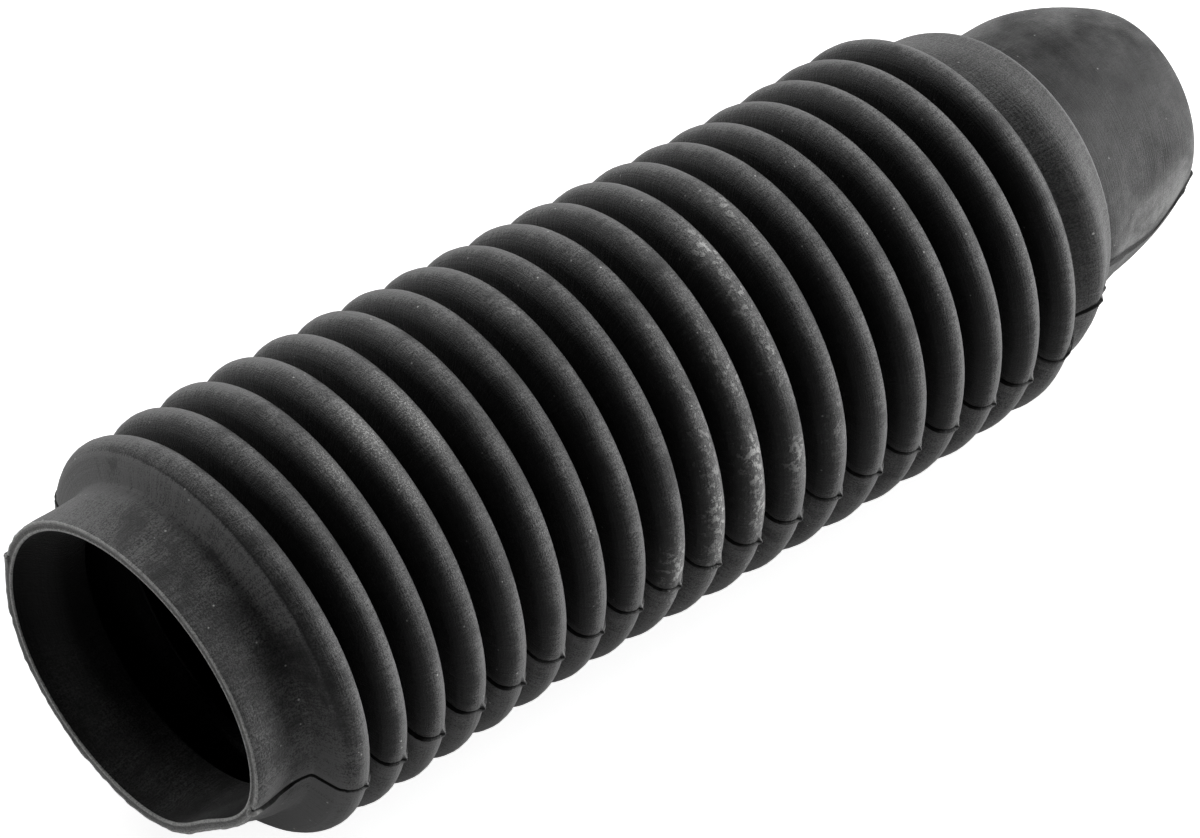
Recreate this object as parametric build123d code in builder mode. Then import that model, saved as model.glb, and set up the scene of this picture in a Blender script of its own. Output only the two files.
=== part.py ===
from build123d import *
from math import acos, atan2, cos, degrees, exp, hypot, radians, sin, tan
import os

# Rubber bellows boot, moulded in one piece and lying on its side.
# The boot's axis runs along X, with the big cuff towards -X and the small cuff towards +X.
# Stations are distances along the axis from the first crest. All sizes are in mm.

# ---- bellows
crest_count = 19
crest_pitch = 9.35
crest_radius = 37.5
crest_tip = 3.3
fold_depth = 7.7
groove_tip = 1.0
wall = 1.3

# ---- first crest's shoulder, with the fine ring line that the mould leaves on it
shoulder_lean = 16.0
ring_line_angle = 140.0
ring_line_depth = 0.22

# ---- big cuff: a round neck with a seat inside it, and a soft mouth that sits out of round
neck_drop = 6.7
neck_length = 1.8
neck_rounding = 0.9
seat_radius = 26.0
seat_length = 4.0
big_cuff_length = 11.4
mouth_half_width = 34.2
mouth_half_height = 28.9
mouth_drop = 0.8
mouth_tilt = -4.0
mouth_wall = 2.0
flat_angle = -138.0
flat_depth = 3.3
flat_spread = 24.0
rim_rounding = 0.6

# ---- band behind the last crest
band_drop = 3.4
band_taper = 0.9
band_length = 13.6
band_corner_rounding = 0.6
band_edge_rounding = 1.2
last_crest_end_angle = 15.0

# ---- small cuff, which narrows in one curve towards its mouth
cuff_wall = 1.8
small_cuff_radius = 25.6
small_root_flare = 1.0
small_root_rounding = 1.6
small_straight_length = 17.0
small_taper_length = 20.7
small_bore_radius = 18.0
small_bore_length = 5.0
small_mouth_wall = 2.2
step_lean = 0.8

# ---- parting line: a thin fin on two opposite sides, with a small nub of flash on each crest,
# on the band's edge and on both rims
parting_angle = -167.5
fin_height = 0.45
fin_rim_height = 0.8
fin_thickness = 0.5
nub_radius = 0.85
nub_sink = 0.55
nub_lead = 1.0

# ---- how far the soft crests are pressed flat where the boot lies
flat_spot_depth = 0.35

# ---- how finely the out-of-round mouth is drawn
mouth_points = 24
loft_shares = (0.3, 0.65, 1.0)

# The straight flank between a crest and a groove touches both tip arcs, so its lean follows
# from the arcs' centres. Inner and outer skins share these centres and this lean.
crest_centre = crest_radius - crest_tip
groove_centre = crest_radius - fold_depth + groove_tip
centre_drop = crest_centre - groove_centre
centre_gap = hypot(crest_pitch / 2, centre_drop)
flank_turn = degrees(acos((crest_tip + groove_tip) / centre_gap))
flank_lean = flank_turn - degrees(atan2(centre_drop, crest_pitch / 2))

# The shoulder leaves the first crest at its own lean and comes down to the neck.
shoulder_radius = crest_centre + crest_tip * sin(radians(shoulder_lean))
shoulder_station = -crest_tip * cos(radians(shoulder_lean))
neck_radius = crest_radius - neck_drop
neck_station = shoulder_station - (shoulder_radius - neck_radius) * tan(radians(shoulder_lean))
neck_start = neck_station - neck_length
seat_start = neck_station - seat_length
mouth_station = neck_station - big_cuff_length

last_crest = (crest_count - 1) * crest_pitch
band_radius = crest_radius - band_drop
band_end = last_crest + band_length
band_end_radius = band_radius - band_taper
small_straight_end = band_end + step_lean + small_straight_length
small_end = small_straight_end + small_taper_length
small_bore_start = small_end - small_bore_length
small_mouth_radius = small_bore_radius + small_mouth_wall

axis_height = crest_radius - flat_spot_depth
middle_station = (mouth_station + small_end) / 2
first_crest_point = (-middle_station, 0, axis_height)
boot_axis = Axis(first_crest_point, (1, 0, 0))


def along_plane(angle):
    """The plane through the axis whose x is the station and whose y is the radius at an angle."""
    turn = radians(angle)
    return Plane(first_crest_point, x_dir=(1, 0, 0), z_dir=(0, -sin(turn), cos(turn)))


def cross_plane(station):
    """The plane across the axis at a station, with its x along +Y and its y along +Z."""
    return Plane((station - middle_station, 0, axis_height), x_dir=(0, 1, 0), z_dir=(1, 0, 0))


def tip_point(station, centre, radius, angle):
    """A point on a tip arc, as its station and its distance from the axis."""
    return (station + radius * cos(radians(angle)), centre + radius * sin(radians(angle)))


def mouth_radius(angle, skin):
    """Radius of the rim at an angle from +Y towards +Z, on a skin that far off its outside."""
    turn = radians(angle - mouth_tilt)
    width = mouth_half_width + skin
    height = mouth_half_height + skin
    oval = width * height / hypot(height * cos(turn), width * sin(turn))
    from_flat = (angle - flat_angle + 180) % 360 - 180
    flat = flat_depth * exp(-((from_flat / flat_spread) ** 2))
    return oval - flat - mouth_drop * sin(radians(angle))


def cuff_radius(angle, share, round_radius, skin):
    """Radius of the big cuff, from round at share 0 to the rim's form at share 1."""
    ease = share * share * (3 - 2 * share)
    return round_radius + (mouth_radius(angle, skin) - round_radius) * ease


def cuff_sections(start, round_radius, skin):
    """Sections for a loft, from a circle at a station out to the rim."""
    with BuildSketch(cross_plane(start)) as section:
        Circle(round_radius)
    sections = [section.sketch]
    for share in loft_shares:
        with BuildSketch(cross_plane(start + (mouth_station - start) * share)) as section:
            with BuildLine():
                points = []
                for k in range(mouth_points):
                    angle = 360 * k / mouth_points
                    radius = cuff_radius(angle, share, round_radius, skin)
                    points.append((radius * cos(radians(angle)), radius * sin(radians(angle))))
                Spline(points, periodic=True)
            make_face()
        sections.append(section.sketch)
    return sections


def cuff_fin_points(angle, rise, rim_rise):
    """Points along the big cuff's parting line, from one height over its wall to another."""
    run = mouth_station + rim_rounding - neck_start
    points = []
    for share in (0, *loft_shares):
        height = rise + (rim_rise - rise) * share
        points.append((neck_start + run * share, cuff_radius(angle, share, neck_radius, 0) + height))
    return points


def nub_centres(angle):
    """Centres of the nubs along a parting line."""
    places = [(k * crest_pitch + nub_lead, crest_radius) for k in range(crest_count)]
    places.append((band_end - band_edge_rounding / 2, band_end_radius))
    places.append((small_end - rim_rounding - nub_radius, small_mouth_radius + nub_sink / 2))
    places.append((mouth_station + rim_rounding + nub_radius, mouth_radius(angle, 0)))
    centre_rise = nub_radius - nub_sink
    plane = along_plane(angle)
    return [plane.from_local_coords((place[0], place[1] + centre_rise, 0)) for place in places]


def bellows_line(skin):
    """First crest's top to the last crest's left flank, on a skin that far outside the wall."""
    tip = crest_tip + skin
    root = groove_tip - skin
    arc_size = 180 - 2 * flank_lean
    CenterArc((0, crest_centre), tip, flank_lean, 180 - shoulder_lean - flank_lean)
    for k in range(crest_count - 1):
        crest = k * crest_pitch
        groove = crest + crest_pitch / 2
        if k > 0:
            CenterArc((crest, crest_centre), tip, flank_lean, arc_size)
        CenterArc((groove, groove_centre), root, 180 + flank_lean, arc_size)
        Line(
            tip_point(crest, crest_centre, tip, flank_lean),
            tip_point(groove, groove_centre, root, 180 + flank_lean),
        )
        Line(
            tip_point(groove, groove_centre, root, -flank_lean),
            tip_point(crest + crest_pitch, crest_centre, tip, 180 - flank_lean),
        )


def small_end_line(crest_skin, skin):
    """Last crest, band and small cuff on their skins; returns the end of the line."""
    tip = crest_tip + crest_skin
    end_angle = last_crest_end_angle
    CenterArc((last_crest, crest_centre), tip, end_angle, 180 - flank_lean - end_angle)
    crest_end = tip_point(last_crest, crest_centre, tip, end_angle)
    drop = crest_end[1] - band_radius - skin
    corner = (crest_end[0] + drop * tan(radians(end_angle)), band_radius + skin)
    edge = (band_end + skin, band_end_radius + skin)
    root = (band_end + step_lean + skin, small_cuff_radius + small_root_flare + skin)
    straight_end = (small_straight_end, small_cuff_radius + skin)
    mouth = (small_end, small_mouth_radius + skin)
    roundings = (band_corner_rounding, band_edge_rounding, small_root_rounding)
    FilletPolyline(crest_end, corner, edge, root, straight_end, radius=roundings)
    TangentArc(straight_end, mouth, tangent=(straight_end[0] - root[0], straight_end[1] - root[1]))
    return mouth


def shoulder_point(skin):
    """Where the first crest's arc ends on its shoulder side."""
    return tip_point(0, crest_centre, crest_tip + skin, 180 - shoulder_lean)


def outside_line(skin):
    """Neck to small mouth along the outside, closed down to the axis."""
    neck_corner = (neck_station - skin, neck_radius + skin)
    neck_end = (neck_start, neck_radius + skin)
    FilletPolyline(neck_end, neck_corner, shoulder_point(skin), radius=(neck_rounding,))
    bellows_line(skin)
    mouth = small_end_line(skin, skin)
    Polyline(mouth, (small_end, 0), (neck_start, 0), neck_end)


with BuildPart() as bellows_boot:
    # filled outer form: bellows, band and small cuff turned in one, then the lofted big cuff
    with BuildSketch(along_plane(90)):
        with BuildLine():
            outside_line(0)
        make_face()
    revolve(axis=boot_axis)
    loft(cuff_sections(neck_start, neck_radius, 0))

    # hollow: the folded inside with both bores, then the inside of the big cuff
    with BuildSketch(along_plane(90)):
        with BuildLine():
            bellows_line(-wall)
            mouth = small_end_line(-wall, -cuff_wall)
            seat_end = (neck_station, seat_radius)
            Polyline(mouth, (small_end, 0), (neck_station, 0), seat_end, shoulder_point(-wall))
        make_face()
        with Locations((small_bore_start, 0)):
            Rectangle(
                small_bore_length,
                2 * crest_radius,
                align=(Align.MIN, Align.MIN),
                mode=Mode.SUBTRACT,
            )
            Rectangle(small_bore_length, small_bore_radius, align=(Align.MIN, Align.MIN))
        with Locations((seat_start, 0)):
            Rectangle(seat_length, seat_radius, align=(Align.MIN, Align.MIN))
    revolve(axis=boot_axis, mode=Mode.SUBTRACT)
    loft(cuff_sections(seat_start, seat_radius, -mouth_wall), mode=Mode.SUBTRACT)
    ends = bellows_boot.faces().sort_by(Axis.X)
    fillet(ends[0].edges() + ends[-1].edges(), rim_rounding)

    # ring line on the first crest
    with BuildSketch(along_plane(90)):
        with Locations(tip_point(0, crest_centre, crest_tip, ring_line_angle)):
            Circle(ring_line_depth)
    revolve(axis=boot_axis, mode=Mode.SUBTRACT)

    # parting line fins with their nubs, rooted halfway into the wall
    for side in (parting_angle, parting_angle + 180):
        with BuildSketch(along_plane(side)):
            with BuildLine():
                outside_line(fin_height)
            make_face()
            with BuildLine():
                outside_line(-wall / 2)
            make_face(mode=Mode.SUBTRACT)
            with BuildLine():
                fin_top = Spline(cuff_fin_points(side, fin_height, fin_rim_height))
                fin_root = Spline(cuff_fin_points(side, -wall / 2, -wall / 2))
                Line(fin_top @ 0, fin_root @ 0)
                Line(fin_top @ 1, fin_root @ 1)
            make_face()
        extrude(amount=fin_thickness / 2, both=True)
        with Locations(*nub_centres(side)):
            Sphere(nub_radius)

    # flat spots where the crests rest
    split(bisect_by=Plane.XY)

bellows_boot.part.label = "bellows_boot"
os.makedirs("parts", exist_ok=True)
export_step(bellows_boot.part, "parts/bellows_boot.step")
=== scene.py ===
# %% [markdown]
# # A rubber bellows boot
# This lesson dresses one moulded part: a long black rubber boot with nineteen rounded folds. The
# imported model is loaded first, because it holds the true sizes.

# %% Load the frame
from math import acos, atan2, ceil, cos, degrees, hypot, pi, radians, sin, tan

import bpy
import numpy as np
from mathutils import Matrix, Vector, noise


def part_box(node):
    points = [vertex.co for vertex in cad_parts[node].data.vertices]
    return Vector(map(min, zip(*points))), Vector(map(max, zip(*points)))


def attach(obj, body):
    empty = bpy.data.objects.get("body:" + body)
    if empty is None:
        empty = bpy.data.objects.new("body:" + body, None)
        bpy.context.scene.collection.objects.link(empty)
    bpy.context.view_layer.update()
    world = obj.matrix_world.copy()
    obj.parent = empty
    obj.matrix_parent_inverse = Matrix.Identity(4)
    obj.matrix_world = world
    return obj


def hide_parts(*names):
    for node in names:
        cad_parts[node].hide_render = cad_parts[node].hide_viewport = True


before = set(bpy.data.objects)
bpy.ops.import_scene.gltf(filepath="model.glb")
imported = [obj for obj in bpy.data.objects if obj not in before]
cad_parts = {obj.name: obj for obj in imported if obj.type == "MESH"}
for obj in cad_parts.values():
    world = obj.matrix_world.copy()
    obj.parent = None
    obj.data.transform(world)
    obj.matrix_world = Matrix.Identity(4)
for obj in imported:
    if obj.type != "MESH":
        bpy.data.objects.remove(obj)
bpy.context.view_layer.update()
low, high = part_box("bellows_boot")
print("boot", [round(side * 1000, 1) for side in high - low], "mm")

# %% [markdown]
# ## The sizes of the boot
# A boot like this is turned in the mould's steel, so its form is one line carried round an axis.
# The sizes below describe that line, in millimetres. A station is a distance along the axis from
# the first fold's crest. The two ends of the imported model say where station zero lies.

# %% Sizes
MM = 0.001
crest_count, crest_pitch = 19, 9.35
crest_radius, crest_tip = 37.5, 3.3
groove_radius, groove_tip = 29.8, 1.0
wall = 1.3
shoulder_lean = 16.0
ring_line_angle, ring_line_depth, ring_line_spread = 140.0, 0.10, 9.0

neck_radius, neck_length, neck_rounding = 30.8, 1.8, 0.9
seat_radius, seat_length = 26.0, 4.0
big_cuff_length = 11.4
mouth_half_width, mouth_half_height = 34.2, 28.9
mouth_drop, mouth_tilt, mouth_wall = 0.8, -4.0, 2.0
flat_angle, flat_depth, flat_spread = -138.0, 3.3, 24.0
rim_rounding, lip_rounding, lip_trench = 0.6, 0.35, 0.14

band_radius, band_end_radius, band_length = 34.1, 33.2, 13.6
band_corner_rounding, band_edge_rounding = 0.6, 1.2
last_crest_end_angle = 15.0

cuff_wall = 1.8
small_root_radius, small_root_rounding = 26.6, 1.6
small_straight_radius, small_straight_length = 25.6, 17.0
small_taper_length, small_mouth_radius = 20.7, 20.2
small_bore_radius, small_bore_length = 18.0, 5.0
step_lean = 0.8

parting_angle = -167.5
step_height, crack_depth, skin_wave = 0.32, 0.16, 0.07
nub_rise, nub_lead, nub_spread = 0.75, 1.05, 0.62

crest_centre = crest_radius - crest_tip
groove_centre = groove_radius + groove_tip
centre_drop = crest_centre - groove_centre
centre_gap = hypot(crest_pitch / 2, centre_drop)
flank_turn = degrees(acos((crest_tip + groove_tip) / centre_gap))
flank_lean = flank_turn - degrees(atan2(centre_drop, crest_pitch / 2))
shoulder_radius = crest_centre + crest_tip * sin(radians(shoulder_lean))
shoulder_station = -crest_tip * cos(radians(shoulder_lean))
neck_station = shoulder_station - (shoulder_radius - neck_radius) * tan(radians(shoulder_lean))
neck_start = neck_station - neck_length
seat_start = neck_station - seat_length
mouth_station = neck_station - big_cuff_length
last_crest = (crest_count - 1) * crest_pitch
band_end = last_crest + band_length
small_straight_end = band_end + step_lean + small_straight_length
small_end = small_straight_end + small_taper_length

first_crest_x = low.x / MM - mouth_station
axis_height = high.z / MM - crest_radius
print("first crest at", round(first_crest_x, 2), "axis at", round(axis_height, 2))

# %% [markdown]
# ## Drawing the line that is spun
# Arcs are stepped by angle, so a tight groove gets as round a form as a wide crest. Grooves and
# the hollow are seen less, so both get longer steps. One helper rounds the corners.

# %% Helpers for the outline
ARC_STEP = 17.0
GROOVE_STEP, INSIDE_STEP = 1.6, 2.6
cuff_spacing, shoulder_spacing, band_spacing, straight_spacing = 1.1, 1.2, 1.6, 2.0
TAPER_POINTS = 14


def arc(centre, radius, start, end, step=ARC_STEP):
    """Points on an arc from one angle to another, in degrees."""
    count = max(2, ceil(abs(end - start) / step))
    turns = [radians(start + (end - start) * k / count) for k in range(count + 1)]
    return [(centre[0] + radius * cos(t), centre[1] + radius * sin(t)) for t in turns]


def run(start, end, spacing):
    """Points along a straight run, without its ends."""
    count = max(1, round(hypot(end[0] - start[0], end[1] - start[1]) / spacing))
    return [
        (start[0] + (end[0] - start[0]) * k / count, start[1] + (end[1] - start[1]) * k / count)
        for k in range(1, count)
    ]


def heading(centre, point):
    """The angle in degrees at which a point lies from a centre."""
    return degrees(atan2(point[1] - centre[1], point[0] - centre[0]))


def rounded_corner(before, corner, after, radius):
    """The arc that rounds a corner between two straight runs."""
    first = Vector(before) - Vector(corner)
    second = Vector(after) - Vector(corner)
    half = first.angle(second) / 2
    touch = radius / tan(half)
    start = Vector(corner) + first.normalized() * touch
    end = Vector(corner) + second.normalized() * touch
    middle = (first.normalized() + second.normalized()).normalized()
    centre = Vector(corner) + middle * (radius / sin(half))
    from_angle = heading(centre, start)
    turn = (heading(centre, end) - from_angle + 180) % 360 - 180
    return arc(centre, radius, from_angle, from_angle + turn)


def tangent_arc(start, direction, end, count):
    """An arc that leaves a point along a direction and ends at another point."""
    chord = Vector(end) - Vector(start)
    normal = Vector((direction[1], -direction[0])).normalized()
    radius = chord.length_squared / (2 * chord.dot(normal))
    centre = Vector(start) + normal * radius
    from_angle, to_angle = heading(centre, start), heading(centre, end)
    return arc(centre, radius, from_angle, to_angle, abs(to_angle - from_angle) / count)


# %% [markdown]
# One loop draws all the folds: a crest arc, then a groove arc, and the straight flank between
# them comes by itself. The inside skin is the same line, a wall's thickness further in.

# %% The outside and the inside line
def folds(skin, step):
    """The folds on a skin that far outside the wall, up to the last crest's left flank."""
    tip, root = crest_tip + skin, groove_tip - skin
    points = arc((0, crest_centre), tip, 180 - shoulder_lean, flank_lean, step)
    if skin == 0:
        turn = radians(ring_line_angle)
        line_start, line_end = ring_line_angle + ring_line_spread, ring_line_angle - ring_line_spread
        before = arc((0, crest_centre), tip, 180 - shoulder_lean, line_start, step)
        after = arc((0, crest_centre), tip, line_end, flank_lean, step)
        deep = tip - ring_line_depth
        points = before + [(deep * cos(turn), crest_centre + deep * sin(turn))] + after
    for k in range(crest_count - 1):
        crest = k * crest_pitch
        if k > 0:
            points += arc((crest, crest_centre), tip, 180 - flank_lean, flank_lean, step)
        groove = (crest + crest_pitch / 2, groove_centre)
        points += arc(groove, root, 180 + flank_lean, 360 - flank_lean, GROOVE_STEP * step)
    return points


def small_end_line(crest_skin, skin):
    """Last crest, band and small cuff on their skins."""
    tip, end_angle = crest_tip + crest_skin, last_crest_end_angle
    points = arc((last_crest, crest_centre), tip, 180 - flank_lean, end_angle)
    drop = points[-1][1] - band_radius - skin
    corner = (points[-1][0] + drop * tan(radians(end_angle)), band_radius + skin)
    edge = (band_end + skin, band_end_radius + skin)
    root = (band_end + step_lean + skin, small_root_radius + skin)
    straight_end = (small_straight_end, small_straight_radius + skin)
    corner_arc = rounded_corner(points[-1], corner, edge, band_corner_rounding)
    edge_arc = rounded_corner(corner, edge, root, band_edge_rounding)
    root_arc = rounded_corner(edge, root, straight_end, small_root_rounding)
    points += corner_arc + run(corner_arc[-1], edge_arc[0], band_spacing)
    points += edge_arc + run(edge_arc[-1], root_arc[0], band_spacing)
    points += root_arc + run(root_arc[-1], straight_end, straight_spacing)
    direction = (straight_end[0] - root[0], straight_end[1] - root[1])
    mouth = (small_end, small_mouth_radius + skin)
    return points + tangent_arc(straight_end, direction, mouth, TAPER_POINTS)


def whole_line():
    """The closed line round the wall, along the outside and back along the inside."""
    rim, lip = rim_rounding, lip_rounding
    neck_corner = (neck_station, neck_radius)
    shoulder = (shoulder_station, shoulder_radius)
    neck_arc = rounded_corner((neck_start, neck_radius), neck_corner, shoulder, neck_rounding)
    rim_top = arc((mouth_station + lip, neck_radius - lip), lip, 180, 90, 30)
    outside = rim_top + run(rim_top[-1], neck_arc[0], cuff_spacing) + neck_arc
    outside += run(neck_arc[-1], shoulder, shoulder_spacing) + folds(0, ARC_STEP)
    cone = small_end_line(0, 0)
    cone = [point for point in cone if point[0] < small_end - rim]
    outside += cone + arc((small_end - rim, small_mouth_radius - rim), rim, 80, 0, 27)

    inside_step = INSIDE_STEP * ARC_STEP
    bore_start = small_end - small_bore_length
    inner = [point for point in small_end_line(-wall, -cuff_wall) if point[0] < bore_start - 0.3]
    inner += [(bore_start, inner[-1][1] - 0.5), (bore_start, small_bore_radius)]
    inner += arc((small_end - rim, small_bore_radius + rim), rim, 270, 360, 30)
    trench = mouth_station + lip_trench
    seat = [(trench, neck_radius - 1.5), (trench, seat_radius + 1.5)]
    seat += arc((mouth_station + lip, seat_radius + lip), lip, 180, 270, 22)
    seat += run(seat[-1], (neck_station, seat_radius), cuff_spacing) + [(neck_station, seat_radius)]
    return outside + (seat + folds(-wall, inside_step) + inner)[::-1]


outline = whole_line()
print("the line has", len(outline), "points")

# %% [markdown]
# ## Spinning the line into a boot
# One vertex is extruded from point to point, and spin carries the line once round the axis. It
# starts where the mould's halves met, so that a column of vertices runs along that parting line.

# %% Spin the wall
COLUMNS = 96


def in_frame(station, radius, angle):
    """A point of the boot in the frame, in metres."""
    turn = radians(angle)
    height = axis_height + radius * sin(turn)
    return Vector(((first_crest_x + station) * MM, radius * cos(turn) * MM, height * MM))


bpy.ops.object.select_all(action="DESELECT")
places = [in_frame(station, radius, parting_angle) for station, radius in outline]
bpy.ops.mesh.primitive_plane_add(size=MM, location=(0, 0, 0))
boot = bpy.context.object
boot.name = boot.data.name = "moulded_boot"
bpy.ops.object.mode_set(mode="EDIT")
bpy.ops.mesh.merge(type="CENTER")
bpy.ops.mesh.select_all(action="SELECT")
bpy.ops.transform.translate(value=places[0])
for start, end in zip(places, places[1:] + places[:1]):
    bpy.ops.mesh.extrude_vertices_move(TRANSFORM_OT_translate={"value": end - start})
bpy.ops.mesh.select_all(action="SELECT")
bpy.ops.mesh.remove_doubles(threshold=0.01 * MM)
axis_point = in_frame(0, 0, 0)
bpy.ops.mesh.spin(steps=COLUMNS, angle=2 * pi, center=axis_point, axis=(1, 0, 0))
bpy.ops.mesh.select_all(action="SELECT")
bpy.ops.mesh.remove_doubles(threshold=0.01 * MM)
bpy.ops.mesh.normals_make_consistent(inside=False)
bpy.ops.object.mode_set(mode="OBJECT")
print("spun wall:", len(boot.data.polygons), "faces")

# %% [markdown]
# ## Room for the parting line
# The mould's halves never meet quite true, so one half of the boot stands a little proud, with a
# fine crack above the step. Bisect cuts extra edge loops close together beside the parting plane
# to carry that step. The big cuff gets one more for its wider lip.

# %% Cut loops beside the parting line
crack_top, crack_middle, step_crest, step_foot = -0.36, -0.16, 0.14, 0.42
STEP_LOOPS = (crack_top, crack_middle, step_crest, step_foot)
LIP_LOOP = 1.3
band_nub_lead = 5.4
NUB_STATIONS = [k * crest_pitch + nub_lead for k in range(crest_count)]
NUB_STATIONS += [band_end - band_nub_lead]
parting_turn = radians(parting_angle)
parting_normal = Vector((0, -sin(parting_turn), cos(parting_turn)))


def coordinates(mesh):
    """Vertex places in millimetres from the first crest's centre: along, level, upright."""
    places = np.empty(len(mesh.vertices) * 3)
    mesh.vertices.foreach_get("co", places)
    places = places.reshape(-1, 3) / MM
    return places - np.array([first_crest_x, 0.0, axis_height])


def edit_vertices(chosen, tool, **settings):
    """Uses an edit mode tool on these vertices alone."""
    bpy.ops.object.mode_set(mode="EDIT")
    bpy.ops.mesh.select_mode(type="VERT")
    bpy.ops.mesh.select_all(action="DESELECT")
    bpy.ops.object.mode_set(mode="OBJECT")
    boot.data.vertices.foreach_set("select", chosen)
    bpy.ops.object.mode_set(mode="EDIT")
    tool(**settings)
    bpy.ops.mesh.select_all(action="DESELECT")
    bpy.ops.object.mode_set(mode="OBJECT")


def cut_loop(offset, last_station):
    """Bisects the wall beside the parting plane, as far along as a station."""
    chosen = coordinates(boot.data)[:, 0] < last_station
    point = in_frame(0, 0, 0) + parting_normal * offset * MM
    edit_vertices(chosen, bpy.ops.mesh.bisect, plane_co=point, plane_no=parting_normal)


for offset in STEP_LOOPS:
    cut_loop(offset, small_end + 1)
cut_loop(LIP_LOOP, neck_station)
print("with the step's loops:", len(boot.data.polygons), "faces")

# %% [markdown]
# ## Finer faces for the nubs and the lip
# A torn nub of rubber stays where the parting line crosses each fold, and a ragged trimmed edge
# round the mouth. The spun faces are too coarse for that, so the faces there are subdivided.

# %% Subdivide where the small things are
MIDDLE_LINE = sorted(folds(-wall / 2, ARC_STEP) + small_end_line(-wall / 2, -cuff_wall / 2))
LIP_MIDDLE = (neck_radius + seat_radius) / 2
nub_patch_length, nub_patch_width, lip_patch_length = 1.6, 2.6, 1.0


def seam_distance(places):
    """Distance from the parting plane, positive on the lower half."""
    return places[:, 2] * cos(parting_turn) - places[:, 1] * sin(parting_turn)


def is_outside(places):
    """True where a place lies on the outer skin."""
    radius = np.hypot(places[:, 1], places[:, 2])
    stations = [-60.0, neck_station] + [point[0] for point in MIDDLE_LINE]
    radii = [LIP_MIDDLE, LIP_MIDDLE] + [point[1] for point in MIDDLE_LINE]
    return radius > np.interp(places[:, 0], stations, radii)


places = coordinates(boot.data)
from_nub = np.min(np.abs(places[:, 0][:, None] - np.array(NUB_STATIONS)[None]), axis=1)
beside_seam = np.abs(seam_distance(places)) < nub_patch_width
at_a_nub = (from_nub < nub_patch_length) & is_outside(places) & beside_seam
edit_vertices(at_a_nub, bpy.ops.mesh.subdivide, number_cuts=2)
at_the_lip = coordinates(boot.data)[:, 0] < mouth_station + lip_patch_length
edit_vertices(at_the_lip, bpy.ops.mesh.subdivide, number_cuts=1)
print("with finer faces:", len(boot.data.polygons), "faces")

# %% [markdown]
# ## What each point of the skin is
# Everything that follows bends the skin, so the place of each point on the straight form and its
# distance from the parting plane are kept on the mesh first, as attributes. Grain, dust and wear
# then follow the rubber wherever it is bent.
#
# The parting line steps down behind the last fold and climbs again on the small cuff. To carry
# it along, each section of the boot is turned a few degrees about the axis.

# %% Record the straight form
CRACK_WIDTHS = [
    # station, how far the shade in the crack reaches to each side
    (mouth_station + 0.4, 0.5), (mouth_station + 1.6, 1.6), (neck_station, 1.8), (0.0, 0.75),
    (last_crest, 0.75), (band_end, 2.4), (band_end + 12.0, 5.5),
]
far_side_crack, flank_crack = 1.6, 0.38
crown_middle, crown_reach = -0.08, 0.2
FAR_FROM_THE_SEAM = 9.0
PARTING_DRIFT = [
    # station, degrees that the parting line has drifted round the boot
    (mouth_station, -1.5), (neck_station, 2.0), (last_crest, 1.2), (last_crest + 4.0, -9.0),
    (band_end - 5.7, -11.0), (band_end + 8.5, -1.0), (small_straight_end, 7.5),
    (small_end - 13.0, 11.0), (small_end - 5.0, 2.5), (small_end, 0.0),
]


def drifted(places):
    """Turns each section about the axis by the drift of the parting line."""
    turn = np.radians(np.interp(places[:, 0], *zip(*PARTING_DRIFT)))
    level = places[:, 1] * np.cos(turn) - places[:, 2] * np.sin(turn)
    upright = places[:, 1] * np.sin(turn) + places[:, 2] * np.cos(turn)
    return np.stack([places[:, 0], level, upright], 1)


drawn = coordinates(boot.data)
seam = seam_distance(drawn)
near_side = drawn[:, 1] * cos(parting_turn) + drawn[:, 2] * sin(parting_turn) > 0
straight = drifted(drawn)
station = straight[:, 0].copy()
radius = np.hypot(straight[:, 1], straight[:, 2])
angle = np.degrees(np.arctan2(straight[:, 2], straight[:, 1]))
outside = is_outside(straight)
from_crest = (station / crest_pitch + 0.5) % 1 - 0.5
crack_width = np.interp(station, *zip(*CRACK_WIDTHS))
crack_width = np.where(near_side, crack_width, np.minimum(crack_width, far_side_crack))
off_the_crown = np.abs(from_crest - crown_middle) > crown_reach
on_a_flank = (station > 1.0) & (station < last_crest) & off_the_crown
crack_width = np.where(on_a_flank, flank_crack, crack_width)


def ease(share):
    """A smooth step from 0 to 1."""
    share = np.clip(share, 0.0, 1.0)
    return share * share * (3.0 - 2.0 * share)


def bell(distance, width):
    """1 in the middle, falling off smoothly to both sides."""
    return np.exp(-((distance / width) ** 2))


def round_the_boot(*pairs):
    """A number that changes round the boot, from pairs of degrees and value."""
    return np.interp(angle % 360, *zip(*pairs))


def keep_number(name, values):
    """Keeps one number for each vertex on the mesh, for the material to read."""
    layer = boot.data.attributes.new(name, "FLOAT", "POINT")
    layer.data.foreach_set("value", np.asarray(values, dtype=np.float32))


form = boot.data.attributes.new("form", "FLOAT_VECTOR", "POINT")
form.data.foreach_set("vector", straight.astype(np.float32).ravel())
# The seam number places the painted shade in the crack.
keep_number("seam", np.where(outside, (seam - crack_middle) / crack_width, FAR_FROM_THE_SEAM))
fold_height = np.where(outside, (radius - groove_radius) / (crest_radius - groove_radius), 0)
to_the_rim = ease((neck_station - station) / (neck_station - mouth_station))
lip_edge = 0.5 + 1.9 * to_the_rim
print("kept the form of", len(station), "vertices,", int(outside.sum()), "of them outside")

# %% [markdown]
# ## Where the boot is worn
# A few folds were rubbed or powdered more than the rest. Each row names the fold, the angle, how
# far the patch reaches round the boot, and its strength. The small cuff has a cloud of powder.

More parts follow.
